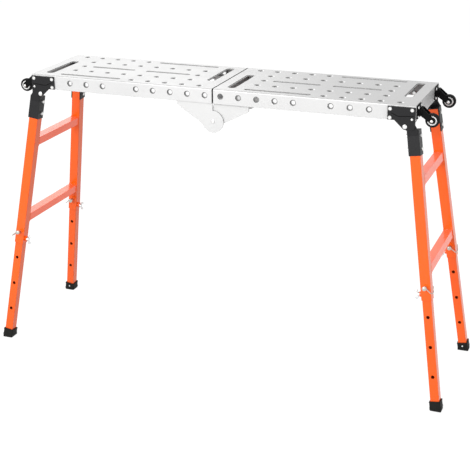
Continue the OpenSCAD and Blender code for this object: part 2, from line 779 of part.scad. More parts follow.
module right_back_snap_pin() { color(zinc) corner(1, 1) snap_pin(-1); }
module left_front_wing_screw() { color(zinc) corner(-1, -1) wing_screw(); }
module left_back_wing_screw() { color(zinc) corner(-1, 1) wing_screw(); }
module right_front_wing_screw() { color(zinc) corner(1, -1) wing_screw(); }
module right_back_wing_screw() { color(zinc) corner(1, 1) wing_screw(); }
module left_front_fork() { color(black) corner(-1, -1) fork(); }
module left_back_fork() { color(black) corner(-1, 1) fork(); }
module right_front_fork() { color(black) corner(1, -1) fork(); }
module right_back_fork() { color(black) corner(1, 1) fork(); }
module left_front_rim() { color("white") corner(-1, -1) rim(); }
module left_back_rim() { color("white") corner(-1, 1) rim(); }
module right_front_rim() { color("white") corner(1, -1) rim(); }
module right_back_rim() { color("white") corner(1, 1) rim(); }
module left_front_tyre() { color(black) corner(-1, -1) tyre(); }
module left_back_tyre() { color(black) corner(-1, 1) tyre(); }
module right_front_tyre() { color(black) corner(1, -1) tyre(); }
module right_back_tyre() { color(black) corner(1, 1) tyre(); }
module left_wheel_plates() { color(black) for (s = [-1, 1]) corner(-1, s) wheel_plate(); }
module right_wheel_plates() { color(black) for (s = [-1, 1]) corner(1, s) wheel_plate(); }

left_tray();
right_tray();
left_braces();
right_braces();
left_front_hinge_plate();
left_back_hinge_plate();
right_front_hinge_plate();
right_back_hinge_plate();
hinge_pair();  // hinge_bolts
left_front_bracket();
left_back_bracket();
right_front_bracket();
right_back_bracket();
left_fixings();
right_fixings();
left_pivot_pins();
right_pivot_pins();
left_front_socket();
left_back_socket();
right_front_socket();
right_back_socket();
left_socket_bolts();
right_socket_bolts();
left_front_outer_leg();
left_back_outer_leg();
right_front_outer_leg();
right_back_outer_leg();
left_rungs();
right_rungs();
left_front_inner_leg();
left_back_inner_leg();
right_front_inner_leg();
right_back_inner_leg();
left_front_foot();
left_back_foot();
right_front_foot();
right_back_foot();
left_front_snap_pin();
left_back_snap_pin();
right_front_snap_pin();
right_back_snap_pin();
left_front_wing_screw();
left_back_wing_screw();
right_front_wing_screw();
right_back_wing_screw();
left_front_fork();
left_back_fork();
right_front_fork();
right_back_fork();
left_front_rim();
left_back_rim();
right_front_rim();
right_back_rim();
left_front_tyre();
left_back_tyre();
right_front_tyre();
right_back_tyre();
left_wheel_plates();
right_wheel_plates();
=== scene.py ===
"""Dresses the folding work table: finishes for every sheet, tube and casting, and the finely
shaped small pieces (wheels, feet, snap pins, wing screws, welds) that the plain solids stand for.

The finished pieces are in metres in the table's own frame: origin on the floor under its middle,
+X along the table, +Y to its back, +Z up. Their sizes are written in millimetres, and MM scales
them.
"""

from __future__ import annotations

import logging
import math
from dataclasses import dataclass, field
from enum import Enum
from functools import reduce
from typing import Callable, Iterable

import bmesh
import bpy
from mathutils import Matrix, Vector

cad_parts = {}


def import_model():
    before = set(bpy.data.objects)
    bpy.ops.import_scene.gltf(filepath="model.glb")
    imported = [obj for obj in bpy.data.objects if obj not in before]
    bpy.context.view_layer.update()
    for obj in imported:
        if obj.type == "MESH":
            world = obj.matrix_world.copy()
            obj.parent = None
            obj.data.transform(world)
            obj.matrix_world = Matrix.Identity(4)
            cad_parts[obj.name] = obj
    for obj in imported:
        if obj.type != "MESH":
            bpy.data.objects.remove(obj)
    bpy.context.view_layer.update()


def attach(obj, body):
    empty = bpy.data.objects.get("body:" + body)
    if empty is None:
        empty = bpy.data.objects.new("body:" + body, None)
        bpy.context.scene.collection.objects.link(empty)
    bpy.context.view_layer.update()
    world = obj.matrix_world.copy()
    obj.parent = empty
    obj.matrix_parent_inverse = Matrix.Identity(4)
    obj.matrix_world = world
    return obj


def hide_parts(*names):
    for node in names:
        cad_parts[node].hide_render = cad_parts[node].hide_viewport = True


LOG = logging.getLogger("work_table")
MM = 0.001

Socket = bpy.types.NodeSocket
BMesh = bmesh.types.BMesh
Inputs = dict[str | int, object]  # a value or a socket for each input, by its name or number
Triple = tuple[float, float, float]  # a place, a size or a colour
Outline = list[tuple[float, float]]  # points of (radius, height)


class Corner(Enum):
    """A corner of the table, as the signs of X and Y."""

    LEFT_FRONT = (-1, -1)
    LEFT_BACK = (-1, 1)
    RIGHT_FRONT = (1, -1)
    RIGHT_BACK = (1, 1)

    @property
    def label(self) -> str:
        """The corner's name as the table's nodes spell it."""
        return self.name.lower()

    @property
    def side(self) -> str:
        """The end of the table that the corner is at."""
        return "left" if self.value[0] < 0 else "right"

    @property
    def mirror(self) -> Matrix:
        """The reflection that carries the +X +Y corner to this one."""
        return Matrix.Diagonal((*self.value, 1, 1))


class Grain(Enum):
    """Direction in which a surface was rolled or drawn, as the scale of its noise."""

    NONE = (1.0, 1.0, 1.0)
    ALONG_TABLE = (0.05, 1.0, 1.0)
    UPRIGHT = (1.0, 1.0, 0.06)


# Finishes

# where the painted shade masks on the trays begin and end, in metres
BORE_TOP = (0.0014, 0.00165)  # below the deck
BORE_END = (0.007, 0.009)
DIMPLE = (0.0001, 0.0013)
UNDERSIDE = (0.0017, 0.0021)
LAST_ROW = (0.139, 0.141)  # from the long middle line
SKIRT_INSIDE = (0.1484, 0.1492)
END_INSIDE = (0.5984, 0.5992)  # from the fold
SEAM = (0.0022, 0.0028)
# the same as shares of a normal, by how far it points up, along the table or across it
LEVEL = (0.96, 0.98)
STEEP = (0.7, 0.8)
FLATTER = (0.8, 0.88)
ALONG = (0.6, 0.8)
ACROSS = (0.97, 0.985)
TO_RIGHT = (-0.2, 0.02)
TO_LEFT = (-0.36, -0.16)
OPENNESS = (0.72, 0.92)  # share of the surroundings that a point sees

MIX_COLOURS = (6, 7)  # numbers of a Mix node's colour inputs
MIX_RESULT = 2  # and of its colour output


class Shader:
    """A material's node tree with short ways to add the nodes that the finishes share."""

    def __init__(self, name: str) -> None:
        """Starts an empty material with a Principled surface.

        Args:
            name: the material's name.
        """
        self.material = bpy.data.materials.new(name)
        self.material.use_nodes = True
        self.tree = self.material.node_tree
        self.tree.nodes.clear()
        self.surface = self.add("BsdfPrincipled")
        self.add("OutputMaterial", {"Surface": self.surface.outputs["BSDF"]})
        self.place = self.add("TexCoord").outputs["Object"]

    def add(self, kind: str, inputs: Inputs | None = None, **values: object) -> bpy.types.Node:
        """Adds a node.

        Args:
            kind: the node's type name, without its ShaderNode.
            inputs: what goes into it.
            values: properties to set on it.

        Returns:
            The new node.
        """
        node = self.tree.nodes.new(f"ShaderNode{kind}")
        for key, value in values.items():
            setattr(node, key, value)
        self.feed(node, inputs or {})
        return node

    def feed(self, node: bpy.types.Node, inputs: Inputs) -> None:
        """Sets or links the inputs of a node.

        Args:
            node: the node.
            inputs: what goes into it.
        """
        for key, value in inputs.items():
            if isinstance(value, Socket):
                self.tree.links.new(value, node.inputs[key])
            else:
                node.inputs[key].default_value = value

    def noise(self, scale: float, detail: float = 2.0, stretch: Grain = Grain.NONE,
              rough: float = 0.55) -> Socket:
        """Noise over the object's own coordinates.

        Args:
            scale: cells to the metre.
            detail: octaves.
            stretch: direction in which the cells are drawn out.
            rough: share of the finer octaves.

        Returns:
            The noise value's socket.
        """
        place = self.place
        if stretch is not Grain.NONE:
            place = self.add("Mapping", {"Scale": stretch.value, "Vector": place}).outputs["Vector"]
        return self.add("TexNoise", {"Scale": scale, "Detail": detail, "Roughness": rough,
                                     "Vector": place}).outputs["Fac"]

    def ramp(self, source: Socket, low: float, high: float, out_low: float,
             out_high: float) -> Socket:
        """Stretches a value from one range to another and holds it there.

        Args:
            source: the value.
            low, high: the range read.
            out_low, out_high: the range given.

        Returns:
            The stretched value's socket.
        """
        return self.add("MapRange", {"Value": source, "From Min": low, "From Max": high,
                                     "To Min": out_low, "To Max": out_high}).outputs["Result"]

    def mix(self, factor: Socket, first: tuple | Socket, second: tuple | Socket) -> Socket:
        """Mixes two colours.

        Args:
            factor: share of the second.
            first, second: colours as tuples or sockets.

        Returns:
            The mixed colour's socket.
        """
        node = self.add("Mix", {"Factor": factor}, data_type="RGBA")
        for number, colour in zip(MIX_COLOURS, (first, second)):
            self.feed(node, {number: (*colour, 1) if isinstance(colour, tuple) else colour})
        return node.outputs[MIX_RESULT]

    def sum(self, kind: str, *values: float | Socket) -> Socket:
        """Works out one value from others.

        Args:
            kind: the sum's name, such as MULTIPLY.
            values: numbers or sockets.

        Returns:
            The result's socket.
        """
        node = self.add("Math", operation=kind)
        self.feed(node, dict(enumerate(values)))
        return node.outputs[0]

    def every(self, *values: Socket) -> Socket:
        """The product of masks, which is where all of them hold."""
        return reduce(lambda total, value: self.sum("MULTIPLY", total, value), values)

    def normal(self, axis: str) -> Socket:
        """The X, Y or Z of the way that the surface faces."""
        facing = self.add("NewGeometry").outputs["True Normal"]
        return self.add("SeparateXYZ", {"Vector": facing}).outputs[axis]

    def part(self, axis: str) -> Socket:
        """The X, Y or Z of the place on the object, in metres."""
        return self.add("SeparateXYZ", {"Vector": self.place}).outputs[axis]

    def tilt(self, most: float) -> Socket:
        """A mask that is highest on slopes of 45 degrees and nothing on level or upright faces.

        Args:
            most: the value on a slope of 45 degrees.

        Returns:
            The mask's socket.
        """
        upright = self.normal("Z")
        height = self.sum("MULTIPLY", upright, upright)
        # height times one less height is a quarter on a slope of 45 degrees
        return self.sum("MULTIPLY", self.every(height, self.sum("SUBTRACT", 1.0, height)), 4 * most)

    def bump(self, heights: Iterable[tuple[Socket, float, float]], soften: float) -> None:
        """Adds relief to the surface.

        Args:
            heights: (value, strength, depth in metres) of each layer.
            soften: radius in metres to which sharp edges look eased.
        """
        last = self.add("Bevel", {"Radius": soften}, samples=4).outputs["Normal"]
        for value, strength, depth in heights:
            last = self.add("Bump", {"Strength": strength, "Distance": depth, "Height": value,
                                     "Normal": last}).outputs["Normal"]
        self.feed(self.surface, {"Normal": last})


@dataclass(frozen=True)
class PowderCoat:
    """Baked powder paint on steel: fine orange-peel relief, slow drift in tone, dusty pores."""

    name: str
    colour: Triple
    shade: Triple  # what the colour drifts to
    matt: float = 0.35  # roughness
    metal: float = 0.0
    coat: float = 0.0  # clear lacquer
    peel: float = 0.12  # strength of the orange-peel relief
    fleck: float = 0.0  # strength of the bright flakes
    shine: float = 0.5  # specular level
    hollow_shade: float = 0.0  # strength of the painted shade in the hollows
    reach: float = 0.018  # how far across a hollow is, in metres
    deck: float = 0.0  # height of the deck, where the trays' painted shade and highlights are wanted
    glow: float = 0.0  # painted light: emission that keeps the shaded sides bright

    def painted_shade_mask(self, s: Shader, light: Socket) -> Socket:
        """Where shade is painted on the trays: bores, the lower part of dimples, the inside and the
        fold.

        Args:
            s: the shader being built.
            light: how open the surface lies.

        Returns:
            The mask's socket.
        """
        down = s.sum("SUBTRACT", self.deck, s.part("Z"))
        half, along = (s.sum("ABSOLUTE", s.part(axis)) for axis in "YX")
        bore = s.every(s.ramp(down, *BORE_TOP, 0, 1), s.ramp(down, *BORE_END, 1, 0),
                       s.ramp(light, *OPENNESS, 1, 0),
                       s.ramp(s.sum("ABSOLUTE", s.normal("Y")), *ACROSS, 1, 0))
        dimple = s.every(s.ramp(down, *DIMPLE, 0.1, 1), s.ramp(half, *LAST_ROW, 1, 0),
                         s.ramp(s.normal("Z"), *LEVEL, 1, 0),
                         s.ramp(s.normal("Z"), *STEEP, 0, 1),
                         s.ramp(s.normal("X"), *TO_RIGHT, 0.0, 0.85))
        inside = s.every(s.ramp(down, *UNDERSIDE, 0, 1), s.ramp(half, *SKIRT_INSIDE, 0.5, 0),
                         s.ramp(along, *END_INSIDE, 1, 0), s.ramp(along, *SEAM, 0, 1))
        fold = s.every(s.ramp(along, *SEAM, 0.95, 0),
                       s.ramp(s.sum("ABSOLUTE", s.normal("X")), *ALONG, 1, 0))
        return s.sum("MAXIMUM", s.sum("MAXIMUM", bore, dimple), s.sum("MAXIMUM", inside, fold))

    def build(self) -> bpy.types.Material:
        """Makes the material.

        Returns:
            The new material.
        """
        s = Shader(self.name)
        drift = s.ramp(s.noise(3.2, 3), 0.32, 0.7, 0, 1)
        colour = s.mix(drift, self.colour, self.shade)
        if self.fleck:
            sparkle = s.ramp(s.noise(2600, 1), 0.5, 0.72, 0, self.fleck)
            flake = tuple(min(1.0, c * 1.22 + 0.02) for c in self.colour)
            colour = s.mix(sparkle, colour, flake)
        scuffs = s.ramp(s.noise(58, 5, Grain.ALONG_TABLE, 0.7), 0.64, 0.8, 0, 0.16)
        colour = s.mix(scuffs, colour, tuple(c * 0.72 for c in self.colour))
        if self.hollow_shade:
            # painted shade: ambient occlusion darkens dimples, slots and the seams between plates
            dark = tuple(c * 0.1 for c in self.colour)
            light = s.add("AmbientOcclusion", {"Distance": self.reach}, samples=8).outputs["AO"]
            colour = s.mix(s.ramp(light, 0.3, 0.94, self.hollow_shade, 0), colour, dark)
            # painted shade on slopes near 45 degrees, such as the deck's bends and the dimples'
            # sides
            colour = s.mix(s.tilt(0.24), colour, dark)
            if self.deck:
                # painted shade in the trays' bores, dimples, inside and fold
                colour = s.mix(self.painted_shade_mask(s, light), colour, dark)
                # painted highlight: the dimples' slopes that face the left end, toward the key
                # lamp, are lightened
                bright = s.every(s.ramp(s.normal("Z"), *LEVEL, 1, 0),
                                 s.ramp(s.normal("Z"), *FLATTER, 0, 1),
                                 s.ramp(s.normal("X"), *TO_LEFT, 0.8, 0))
                colour = s.mix(bright, colour, (0.97, 0.97, 0.97))
        if self.glow:
            # painted light: the orange glows by emission, so its shaded sides stay bright
            s.feed(s.surface, {"Emission Color": colour, "Emission Strength": self.glow})
        rough = s.ramp(s.noise(21, 4), 0.25, 0.8, self.matt - 0.05, self.matt + 0.08)
        s.feed(s.surface, {"Base Color": colour, "Roughness": rough, "Metallic": self.metal,
                           "Specular IOR Level": self.shine, "Coat Weight": self.coat,
                           "Coat Roughness": 0.12})
        s.bump([(s.noise(1150, 2), self.peel, 0.0004), (s.noise(240, 2), self.peel * 0.5, 0.0006)],
               soften=0.0007)
        return s.material


@dataclass(frozen=True)
class ZincPlate:
    """Bright zinc plating on turned, stamped or cast hardware."""

    name: str
    colour: Triple = (0.74, 0.75, 0.76)
    warm: Triple = (0.68, 0.66, 0.6)  # where the plating has yellowed
    matt: float = 0.3  # roughness

    def build(self) -> bpy.types.Material:
        """Makes the material.

        Returns:
            The new material.
        """
        s = Shader(self.name)
        cloud = s.ramp(s.noise(90, 4), 0.35, 0.75, 0, 0.7)
        rough = s.ramp(s.noise(420, 3), 0.3, 0.75, self.matt, self.matt + 0.14)
        s.feed(s.surface, {"Base Color": s.mix(cloud, self.colour, self.warm), "Metallic": 1.0,
                           "Roughness": rough})
        s.bump([(s.noise(1500, 2, Grain.UPRIGHT), 0.1, 0.0002)], soften=0.0003)
        return s.material


@dataclass(frozen=True)
class Moulding:
    """Moulded rubber or plastic: matte skin with fine pores and a little dust."""

    name: str
    colour: Triple
    dust: Triple
    matt: float = 0.6  # roughness
    pores: float = 0.2  # strength of their relief
    shine: float = 0.25  # specular level

    def build(self) -> bpy.types.Material:
        """Makes the material.

        Returns:
            The new material.
        """
        s = Shader(self.name)
        dusty = s.ramp(s.noise(130, 5, rough=0.65), 0.5, 0.82, 0, 0.35)
        rough = s.ramp(s.noise(300, 3), 0.3, 0.7, self.matt - 0.08, self.matt + 0.1)
        s.feed(s.surface, {"Base Color": s.mix(dusty, self.colour, self.dust), "Roughness": rough,
                           "Specular IOR Level": self.shine})
        s.bump([(s.noise(1900, 2), self.pores, 0.0003)], soften=0.0004)
        return s.material


@dataclass
class Finishes:
    """Every finish on the table, made once and handed to the pieces by name."""

    # silver and pressed carry painted shade in their hollows; silver also carries the trays'
    # painted shade and highlights
    silver = PowderCoat("silver_sheet_coat", (0.69, 0.688, 0.686), (0.645, 0.644, 0.643),
                        matt=0.42, metal=0.3, peel=0.1, fleck=0.4, hollow_shade=0.8, deck=0.88)
    pressed = PowderCoat("silver_plate_coat", (0.72, 0.72, 0.715), (0.68, 0.68, 0.68),
                         matt=0.45, metal=0.2, peel=0.12, fleck=0.3, hollow_shade=0.5)
    black = PowderCoat("black_plate_coat", (0.013, 0.013, 0.0142), (0.008, 0.008, 0.009),
                       matt=0.42, peel=0.22, shine=0.24)
    fork = PowderCoat("black_fork_coat", (0.005, 0.005, 0.0055), (0.003, 0.003, 0.0035),
                      matt=0.5, peel=0.22, shine=0.08)
    # the orange coats glow: painted light on their shaded sides
    orange = PowderCoat("orange_tube_coat", (0.98, 0.122, 0.002), (0.93, 0.103, 0.002),
                        matt=0.36, coat=0.75, glow=0.22, peel=0.14, shine=0.1)
    # the rungs' orange is a lighter, pinker copy with more glow and shine: a painted highlight on
    # their pale tops
    rung = PowderCoat("orange_rung_highlight_coat", (0.97, 0.13, 0.042), (0.93, 0.115, 0.035),
                      matt=0.33, coat=0.6, glow=0.38, peel=0.14, shine=0.2)
    # painted shade: wide ambient occlusion darkens the inner tube where it meets the outer tube and
    # the foot
    inner = PowderCoat("orange_inner_tube_coat", (0.97, 0.12, 0.002), (0.91, 0.1, 0.002),
                       matt=0.36, coat=0.75, glow=0.22, peel=0.14, shine=0.1, hollow_shade=0.92,
                       reach=0.04)
    zinc = ZincPlate("zinc_hardware")
    pin = ZincPlate("pin_zinc_plate", (0.55, 0.54, 0.51), (0.48, 0.44, 0.37), 0.32)
    rubber = Moulding("foot_rubber_skin", (0.008, 0.008, 0.007), (0.02, 0.02, 0.018), shine=0.18)
    tyre = Moulding("tyre_rubber_skin", (0.006, 0.006, 0.0065), (0.014, 0.0135, 0.013),
                    matt=0.55, shine=0.14)
    white = Moulding("white_wheel_moulding", (0.9, 0.9, 0.89), (0.8, 0.79, 0.77), matt=0.38,
                     pores=0.08, shine=0.5)
    hub = Moulding("black_hub_moulding", (0.012, 0.012, 0.0125), (0.03, 0.03, 0.03), matt=0.42,
                   pores=0.1)
    # painted shade: a dark ring round each height hole that widens its dark opening
    edge = Moulding("hole_rim_shadow_skin", (0.022, 0.007, 0.004), (0.05, 0.02, 0.012), matt=0.5,
                    pores=0.3)
    plug = Moulding("grey_plug_moulding", (0.13, 0.13, 0.132), (0.19, 0.19, 0.19), matt=0.5)
    # painted shade: the dark strip that stands for the shadow in the brackets' pressed crease
    crease = Moulding("pressed_crease_shadow_skin", (0.004, 0.004, 0.004), (0.007, 0.007, 0.007),
                      matt=0.7, shine=0.06)
    made: dict[str, bpy.types.Material] = field(default_factory=dict)

    def get(self, name: str) -> bpy.types.Material:
        """Hands out a finish's material, which is made on first use.

        Args:
            name: the finish's field name.

        Returns:
            Its material.
        """
        if name not in self.made:
            self.made[name] = getattr(self, name).build()
        return self.made[name]


# Shared sizes


def shift(x: float = 0.0, y: float = 0.0, z: float = 0.0) -> Matrix:
    """A move given in millimetres, as a matrix in metres."""
    return Matrix.Translation(Vector((x, y, z)) * MM)


def turned(degrees: float, axis: str) -> Matrix:
    """A turn about an axis through the origin."""
    return Matrix.Rotation(math.radians(degrees), 4, axis)


@dataclass(frozen=True)
class TableSizes:
    """The sizes that the small pieces are placed from, in millimetres, as the solids have them."""

    deck_h: float = 880.0
    pivot_z: float = 820.0  # the legs' pivots
    leg_x: float = 592.0  # a leg's middle line at that height
    leg_y: float = 130.0
    lean: float = 8.65  # degrees along the table
    splay: float = 5.64  # degrees across it
    leg_w: float = 30.0  # the outer tube
    inner_w: float = 26.4  # the inner tube
    leg_len: float = 833.4  # from the pivot down the leg to the floor
    pin_drop: float = 460.5  # and to the snap pin
    wing_at: float = 484.5  # and to the wing screw
    rungs: tuple[float, float] = (161.0, 415.0)  # and to the rungs
    rung_w: float = 26.0
    rung_h: float = 25.0
    axle: Triple = (640.3, 115.0, 835.0)  # the wheel's middle
    swivel: Triple = (612.6, 115.0, 858.0)  # where the head of the swivel's rivet sits
    tray_x: float = 300.75  # a tray's middle
    side_z: float = 859.0  # the row of holes in the long skirts
    plug_x: float = 24.8  # the first of them
    plate_y: float = 144.7  # outer face of the right tray's hinge plates

    def leg_frame(self, depth: float = 0.0) -> Matrix:
        """The frame, in metres, of the leg at the +X +Y corner, with +Z up the leg.

        Args:
            depth: distance of its origin below the pivot, down the leg.

        Returns:
            The matrix from that frame to the table's.
        """
        return (shift(self.leg_x, self.leg_y, self.pivot_z) @ turned(-self.lean, "Y")
                @ turned(self.splay, "X") @ shift(z=-depth))


class Bench:
    """Where pieces are finished: cleans a bmesh, gives it a material and mounts it on a body."""

    def __init__(self, finishes: Finishes, sizes: TableSizes) -> None:
        """Starts with no piece made.

        Args:
            finishes: the finishes that every sub-assembly shares.
            sizes: the sizes that they share.
        """
        self.finishes = finishes
        self.sizes = sizes
        self.count = 0

    def mount(self, name: str, bm: BMesh, place: Matrix, body: str, finish: str, slot: str,
              replaces: tuple[str, ...] = (), crease: float = 32.0) -> None:
        """Makes a piece of a bmesh drawn in millimetres.

        Args:
            name: the piece's name.
            bm: its shape, freed here.
            place: matrix that carries the shape, scaled to metres, to its place.
            body: the body that it rides on.
            finish: field name of its finish.
            slot: the record's material slot; not used.
            replaces: nodes that it stands for.
            crease: angle in degrees above which an edge stays sharp.
        """
        bmesh.ops.transform(bm, matrix=place @ Matrix.Scale(MM, 4), verts=bm.verts)
        bmesh.ops.remove_doubles(bm, verts=bm.verts, dist=2e-6)
        bmesh.ops.recalc_face_normals(bm, faces=bm.faces)
        for face in bm.faces:
            face.smooth = True
        mesh = bpy.data.meshes.new(name)
        bm.to_mesh(mesh)
        bm.free()
        mesh.set_sharp_from_angle(angle=math.radians(crease))
        piece = bpy.data.objects.new(name, mesh)
        bpy.context.scene.collection.objects.link(piece)
        mesh.materials.append(self.finishes.get(finish))
        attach(piece, body)
        if replaces:
            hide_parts(*replaces)
        self.count += 1
        LOG.info("piece %s on %s: %d faces", name, body, len(mesh.polygons))

    def turn(self, name: str, outline: Outline, steps: int, place: Matrix, body: str, finish: str,
             slot: str, replaces: tuple[str, ...] = ()) -> None:
        """Mounts a piece that is one spun outline.

        Args:
            name: the piece's name.
            outline: its points of (radius, height).
            steps: facets in the full turn.
            place, body, finish, slot, replaces: as mount takes them.
        """
        bm = bmesh.new()
        lathe(bm, outline, steps)
        self.mount(name, bm, place, body, finish, slot, replaces)

    def dress(self, nodes: Iterable[str], finish: str) -> None:
        """Gives CAD nodes a finish.

        Args:
            nodes: the nodes' names.
            finish: field name of the finish.
        """
        for name in nodes:
            node = bpy.data.objects[name]
            node.data.materials.clear()
            node.data.materials.append(self.finishes.get(finish))
            LOG.info("node %s dressed in %s", name, finish)


# Shape helpers


def lathe(bm: BMesh, outline: Outline, steps: int = 40, place: Matrix | None = None) -> None:
    """Spins an outline of (radius, height) round Z into a closed body.

    Args:
        bm: the mesh to add to.
        outline: the points in order.
        steps: facets in the full turn.
        place: where the spun body goes, in the mesh's own units.
    """
    old = set(bm.verts)
    verts = [bm.verts.new((r, 0, z)) for r, z in outline]
    edges = [bm.edges.new((a, b)) for a, b in zip(verts, verts[1:])]
    bmesh.ops.spin(bm, geom=verts + edges, cent=(0, 0, 0), axis=(0, 0, 1), angle=math.tau,
                   steps=steps, use_merge=True, use_duplicate=False)
    bmesh.ops.remove_doubles(bm, verts=[v for v in bm.verts if v not in old], dist=1e-4)
    if place is not None:
        bmesh.ops.transform(bm, matrix=place, verts=[v for v in bm.verts if v not in old])


def both_ways(half: Outline) -> Outline:
    """Closes an outline that is alike below and above, from its lower half."""
    return half + [(r, -z) for r, z in reversed(half)] + half[:1]


def square_bar(bm: BMesh, width: float, depth: float, low: float, high: float,
               ease: float, segments: int = 3) -> list[bmesh.types.BMVert]:
    """Adds an upright bar with eased edges.

    Args:
        bm: the mesh to add to.
        width, depth: its size along X and Y.
        low, high: its ends along Z.
        ease: radius of its edges.
        segments: facets in each rounded edge.

    Returns:
        The vertices added.
    """
    old = set(bm.verts)
    made = bmesh.ops.create_cube(bm, size=1)["verts"]
    bmesh.ops.scale(bm, vec=(width, depth, high - low), verts=made)
    bmesh.ops.translate(bm, vec=(0, 0, (high + low) / 2), verts=made)
    edges = list({e for v in made for e in v.link_edges})
    bmesh.ops.bevel(bm, geom=edges, offset=ease, offset_type="OFFSET", segments=segments,
                    profile=0.5, affect="EDGES", material=-1, clamp_overlap=True)
    return [v for v in bm.verts if v not in old]


def bent_wire(path: list[Triple], radius: float, swell: list[float] | None = None) -> BMesh:
    """Draws round wire along a smooth path, or a rippled ring through the path's points.

    Args:
        path: its points.
        radius: the wire's radius, in the path's units.
        swell: how thick each point is, as a share of radius, for a closed ring.

    Returns:
        A new bmesh of the wire.
    """
    curve = bpy.data.curves.new("wire", "CURVE")
    curve.dimensions = "3D"
    curve.bevel_depth = radius
    curve.bevel_resolution = 3 if swell is None else 2
    curve.resolution_u = 8
    curve.use_fill_caps = swell is None
    line = curve.splines.new("NURBS" if swell is None else "POLY")
    line.points.add(len(path) - 1)
    for index, (point, spot) in enumerate(zip(line.points, path)):
        point.co = (*spot, 1)
        point.radius = 1.0 if swell is None else swell[index]
    if swell is None:
        line.order_u = 3
        line.use_endpoint_u = True
    else:
        line.use_cyclic_u = True
    holder = bpy.data.objects.new("wire", curve)
    bpy.context.scene.collection.objects.link(holder)
    graph = bpy.context.evaluated_depsgraph_get()
    mesh = bpy.data.meshes.new_from_object(holder.evaluated_get(graph))
    bm = bmesh.new()
    bm.from_mesh(mesh)
    bpy.data.objects.remove(holder)
    bpy.data.curves.remove(curve)
    bpy.data.meshes.remove(mesh)
    return bm


def absorb(bm: BMesh, other: BMesh) -> None:
    """Adds a second bmesh to the first and frees it.

    Args:
        bm: the mesh to add to.
        other: the mesh that is added.
    """
    mesh = bpy.data.meshes.new("moved")
    other.to_mesh(mesh)
    other.free()
    bm.from_mesh(mesh)
    bpy.data.meshes.remove(mesh)


# Sub-assemblies


@dataclass
class Decks:
    """The two pressed trays with their braces and the fold's plates."""

    bench: Bench
    pitch: float = 55.4  # of the clamp holes along the tray
    columns: int = 10
    outer_row: float = 122.7  # from the tray's long middle line
    inner_row: float = 60.4
    hole_r: float = 5.0
    sheet_under: float = 3.6  # the sheet's underside at a hole, below the deck

    def build(self) -> None:
        """Dresses the sheet-metal nodes and adds the drawn collars and the plugs."""
        for side, way in (("left", -1), ("right", 1)):
            self.bench.dress([f"{side}_tray", f"{side}_braces"], "silver")
            self.bench.dress([f"{side}_front_hinge_plate", f"{side}_back_hinge_plate"], "pressed")
            self.collars(side, way * self.bench.sizes.tray_x)
        self.bench.dress(["hinge_bolts"], "zinc")
        self.plugs()

    def holes(self) -> Iterable[tuple[float, float]]:
        """Places the clamp holes of one tray.

        Returns:
            (x, y) of each hole, from the tray's middle.
        """
        for step in range(self.columns):
            at = step - (self.columns - 1) / 2
            yield at * self.pitch, self.outer_row if at < 0 else -self.outer_row
            # the end columns have no inner holes, and the next ones have a middle one as well
            rows = (self.inner_row, -self.inner_row) if abs(at) < 4 else ()
            yield from ((at * self.pitch, y) for y in rows)
            if abs(at) == 3.5:
                yield at * self.pitch, 0

    def collars(self, side: str, middle: float) -> None:
        """Draws the short torn collars that the punch leaves under the clamp holes.

        Args:
            side: left or right.
            middle: the tray's middle along X.
        """
        top, r = self.bench.sizes.deck_h - self.sheet_under, self.hole_r + 0.03
        outline = [(r, 0.3), (r + 1.0, 0.3), (r + 0.8, -1.6), (r + 0.45, -2.5), (r, -2.7), (r, 0.3)]
        bm = bmesh.new()
        for x, y in self.holes():
            lathe(bm, outline, 18, Matrix.Translation((middle + x, y, top)))
        self.bench.mount(f"{side}_hole_collars", bm, Matrix.Identity(4), f"{side}_table",
                         "silver", "silver_sheet")

    def plugs(self) -> None:
        """Turns the dark plugs in the skirt holes beside the fold."""
        s = self.bench.sizes
        outline = [(0, 3.5), (3.6, 3.4), (5.3, 2.9), (5.92, 2.0), (5.92, 0.02), (0, 0.02)]
        for name, way in (("front", -1), ("back", 1)):
            face = shift(s.plug_x, way * s.plate_y, s.side_z) @ turned(-90 * way, "X")
            self.bench.turn(f"right_{name}_fold_plug", outline, 32, face, "right_table", "plug",
                            "tyre_rubber")


@dataclass
class Brackets:
    """The black plates at the corners, the leg sockets and their bolts and pins."""

    bench: Bench
    face_y: float = 153.0  # outer face of the bracket plate
    # the painted crease shadow's run across the plate, as (x, z), and its section, as (up, out)
    path: tuple[tuple[float, float], ...] = ((595.5, 851.5), (578.0, 849.6), (560.0, 848.0),
                                             (551.0, 848.2), (543.0, 851.4), (531.5, 856.4))
    section: tuple[tuple[float, float], ...] = ((-1.1, -0.3), (-0.9, 0.2), (0.9, 0.2), (1.1, -0.3))

    def build(self) -> None:
        """Dresses the brackets, sockets and their hardware."""
        for corner in Corner:
            self.bench.dress([f"{corner.label}_bracket", f"{corner.label}_socket"], "black")
            self.bench.dress([f"{corner.label}_fork"], "fork")
        for side in ("left", "right"):
            self.bench.dress([f"{side}_wheel_plates"], "fork")
            self.bench.dress([f"{side}_fixings", f"{side}_pivot_pins", f"{side}_socket_bolts"],
                             "zinc")
        for corner in Corner:
            self.crease(corner)

    def crease(self, corner: Corner) -> None:
        """Draws the shadow in the bracket plate's pressed crease as a painted dark strip that
        stands 0.2 mm proud.

        Args:
            corner: the bracket's corner.
        """
        bm = bmesh.new()
        x, z = self.path[0]
        end = bm.faces.new([bm.verts.new((x, self.face_y + out, z + up))
                            for up, out in self.section])
        for (x0, z0), (x1, z1) in zip(self.path, self.path[1:]):
            grown = bmesh.ops.extrude_face_region(bm, geom=[end, *end.edges])["geom"]
            end = next(item for item in grown if isinstance(item, bmesh.types.BMFace))
            bmesh.ops.translate(bm, vec=(x1 - x0, 0, z1 - z0), verts=end.verts[:])
        self.bench.mount(f"{corner.label}_bracket_crease", bm, corner.mirror,
                         f"{corner.side}_table", "crease", "black_plate")


